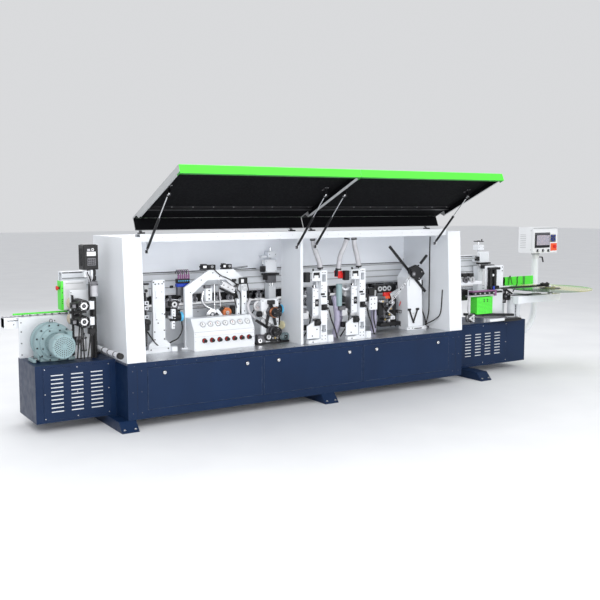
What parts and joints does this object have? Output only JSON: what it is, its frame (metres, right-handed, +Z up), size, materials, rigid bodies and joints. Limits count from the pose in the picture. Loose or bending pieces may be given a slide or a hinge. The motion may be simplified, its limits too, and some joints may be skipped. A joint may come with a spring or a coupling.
{
  "type": "edge banding machine",
  "caption": "Automatic edge banding machine: long cabinet with two lifting hoods, a feed line with working stations, a tape tray and a swivelling control head.",
  "frame": {"origin": "on the floor under the centre of the middle foot, in the plane of the doors", "axes": "+X along the feed line towards the infeed end, +Y away from the service side, +Z up"},
  "size_m": [6.543, 1.6303, 2.1908],
  "materials": {
    "black_metal": "black oxide",
    "black_plastic": "moulded",
    "chrome": "plated",
    "cloth_wheel": "stitched cotton",
    "green_paint": "gloss paint",
    "grey_motor": "hammered paint",
    "hmi_white": "powder coat, fine texture",
    "hose_plastic": "ribbed hose",
    "navy_paint": "powder coat, satin",
    "red_plastic": "moulded",
    "rubber": "matte",
    "steel": "brushed",
    "tray_acrylic": "tinted sheet",
    "white_paint": "powder coat, satin"
  },
  "bodies": {
    "root": {"main_base": "navy_paint", "deck_plate": "navy_paint", "feet": "black_metal", "left_end_box": "navy_paint", "right_end_box": "navy_paint", "vent_panels": "navy_paint", "left_tower": "white_paint", "right_tower": "white_paint", "top_beam": "white_paint", "rear_cover": "white_paint", "partition": "white_paint", "conveyor_beam": "white_paint", "conveyor_chain": "rubber", "lifting_columns": "white_paint", "scraping_frame": "white_paint", "corner_frame": "white_paint", "pneumatic_panel": "white_paint", "trim_unit": "steel", "left_saw_frame": "white_paint", "right_saw_frame": "white_paint", "glue_pillar": "white_paint", "outfeed_plate": "white_paint", "drive_gearmotor": "grey_motor", "buffing_stand": "white_paint", "buffing_motors": "grey_motor", "switch_box": "black_plastic", "outfeed_control_box": "grey_motor", "infeed_plate": "white_paint", "green_guard": "green_paint", "tray_beam": "white_paint", "hmi_post": "hmi_white", "left_dust_hose": "hose_plastic", "middle_dust_hose": "hose_plastic", "right_dust_hose": "hose_plastic", "clipped_cables": "rubber"},
    "left_hood_body": {"left_hood": "white_paint"},
    "left_strut_tube_body": {"left_strut_tubes": "black_metal"},
    "left_strut_rod_body": {"left_strut_rods": "chrome"},
    "right_hood_body": {"right_hood": "white_paint"},
    "right_strut_tube_body": {"right_strut_tubes": "black_metal"},
    "right_strut_rod_body": {"right_strut_rods": "chrome"},
    "left_door_body": {"left_door": "navy_paint"},
    "left_door_left_lock_body": {"left_door_left_lock": "chrome"},
    "left_door_right_lock_body": {"left_door_right_lock": "chrome"},
    "middle_door_body": {"middle_door": "navy_paint"},
    "middle_door_left_lock_body": {"middle_door_left_lock": "chrome"},
    "middle_door_right_lock_body": {"middle_door_right_lock": "chrome"},
    "right_door_body": {"right_door": "navy_paint"},
    "right_door_left_lock_body": {"right_door_left_lock": "chrome"},
    "right_door_right_lock_body": {"right_door_right_lock": "chrome"},
    "pressure_beam_body": {"pressure_beam": "white_paint", "pressure_rollers": "rubber"},
    "left_saw_body": {"left_saw_carriage": "steel"},
    "right_saw_body": {"right_saw_carriage": "steel"},
    "pressing_arm_body": {"pressing_arm": "black_metal"},
    "lower_buffing_wheel_body": {"lower_buffing_wheel": "cloth_wheel"},
    "upper_buffing_wheel_body": {"upper_buffing_wheel": "cloth_wheel"},
    "tape_tray_body": {"tape_tray": "tray_acrylic"},
    "hmi_head_body": {"hmi_head": "hmi_white"},
    "hmi_emergency_stop_body": {"hmi_emergency_stop": "red_plastic"}
  },
  "joints": [
    {"name": "left_hood_hinge", "type": "hinge", "parent": "root", "child": "left_hood_body", "pos_m": [0, 0.2, 1.657], "axis": [1, 0, 0], "range_deg": [0, 109.93]},
    {"name": "left_strut_pivot", "type": "hinge", "parent": "root", "child": "left_strut_tube_body", "pos_m": [0, 0.1, 1.495], "axis": [1, 0, 0], "range_deg": [0, 134.85]},
    {"name": "left_strut_slide", "type": "slide", "parent": "left_strut_tube_body", "child": "left_strut_rod_body", "axis": [0, -0.7052, 0.709], "range_m": [-0.18855, 0]},
    {"name": "right_hood_hinge", "type": "hinge", "parent": "root", "child": "right_hood_body", "pos_m": [0, 0.2, 1.657], "axis": [1, 0, 0], "range_deg": [0, 109.93]},
    {"name": "right_strut_pivot", "type": "hinge", "parent": "root", "child": "right_strut_tube_body", "pos_m": [0, 0.1, 1.495], "axis": [1, 0, 0], "range_deg": [0, 134.85]},
    {"name": "right_strut_slide", "type": "slide", "parent": "right_strut_tube_body", "child": "right_strut_rod_body", "axis": [0, -0.7052, 0.709], "range_m": [-0.18855, 0]},
    {"name": "left_door_hinge", "type": "hinge", "parent": "root", "child": "left_door_body", "pos_m": [0, 0.002, 0.158], "axis": [1, 0, 0], "range_deg": [0, 85]},
    {"name": "left_door_left_lock_turn", "type": "hinge", "parent": "left_door_body", "child": "left_door_left_lock_body", "pos_m": [-1.688, 0, 0.465], "axis": [0, 1, 0], "range_deg": [0, 90]},
    {"name": "left_door_right_lock_turn", "type": "hinge", "parent": "left_door_body", "child": "left_door_right_lock_body", "pos_m": [-0.88233, 0, 0.465], "axis": [0, 1, 0], "range_deg": [0, 90]},
    {"name": "middle_door_hinge", "type": "hinge", "parent": "root", "child": "middle_door_body", "pos_m": [0, 0.002, 0.158], "axis": [1, 0, 0], "range_deg": [0, 85]},
    {"name": "middle_door_left_lock_turn", "type": "hinge", "parent": "middle_door_body", "child": "middle_door_left_lock_body", "pos_m": [-0.55233, 0, 0.465], "axis": [0, 1, 0], "range_deg": [0, 90]},
    {"name": "middle_door_right_lock_turn", "type": "hinge", "parent": "middle_door_body", "child": "middle_door_right_lock_body", "pos_m": [0.25333, 0, 0.465], "axis": [0, 1, 0], "range_deg": [0, 90]},
    {"name": "right_door_hinge", "type": "hinge", "parent": "root", "child": "right_door_body", "pos_m": [0, 0.002, 0.158], "axis": [1, 0, 0], "range_deg": [0, 85]},
    {"name": "right_door_left_lock_turn", "type": "hinge", "parent": "right_door_body", "child": "right_door_left_lock_body", "pos_m": [0.58333, 0, 0.465], "axis": [0, 1, 0], "range_deg": [0, 90]},
    {"name": "right_door_right_lock_turn", "type": "hinge", "parent": "right_door_body", "child": "right_door_right_lock_body", "pos_m": [1.389, 0, 0.465], "axis": [0, 1, 0], "range_deg": [0, 90]},
    {"name": "pressure_beam_lift", "type": "slide", "parent": "root", "child": "pressure_beam_body", "axis": [0, 0, 1], "range_m": [0, 0.042]},
    {"name": "left_saw_slide", "type": "slide", "parent": "root", "child": "left_saw_body", "axis": [0, 0, 1], "range_m": [-0.12, 0.06]},
    {"name": "right_saw_slide", "type": "slide", "parent": "root", "child": "right_saw_body", "axis": [0, 0, 1], "range_m": [-0.12, 0.06]},
    {"name": "pressing_arm_turn", "type": "hinge", "parent": "root", "child": "pressing_arm_body", "pos_m": [1.262, 0.3, 1.17], "axis": [0, 1, 0], "range_deg": [-20, 20]},
    {"name": "lower_buffing_spin", "type": "hinge", "parent": "root", "child": "lower_buffing_wheel_body", "pos_m": [-2.272, 0.505, 0.905], "axis": [0, 1, 0], "continuous": true},
    {"name": "upper_buffing_spin", "type": "hinge", "parent": "root", "child": "upper_buffing_wheel_body", "pos_m": [-2.272, 0.505, 1.04], "axis": [0, 1, 0], "continuous": true},
    {"name": "tape_tray_spin", "type": "hinge", "parent": "root", "child": "tape_tray_body", "pos_m": [3.2, 0.11, 0.93], "axis": [0, 0, 1], "continuous": true},
    {"name": "hmi_swivel", "type": "hinge", "parent": "root", "child": "hmi_head_body", "pos_m": [3.53, 0.65, 1.32], "axis": [0, 0, 1], "range_deg": [-60, 60]},
    {"name": "hmi_stop_press", "type": "slide", "parent": "hmi_head_body", "child": "hmi_emergency_stop_body", "axis": [0, 1, 0], "range_m": [0, 0.008], "stiffness_N_per_m": 400}
  ],
  "couplings": [
    {"joint": "left_strut_pivot", "follows": "left_hood_hinge", "ratio": 1.2257},
    {"joint": "left_strut_slide", "follows": "left_hood_hinge", "m_per_rad": -0.098013},
    {"joint": "right_strut_pivot", "follows": "right_hood_hinge", "ratio": 1.2257},
    {"joint": "right_strut_slide", "follows": "right_hood_hinge", "m_per_rad": -0.098013}
  ]
}
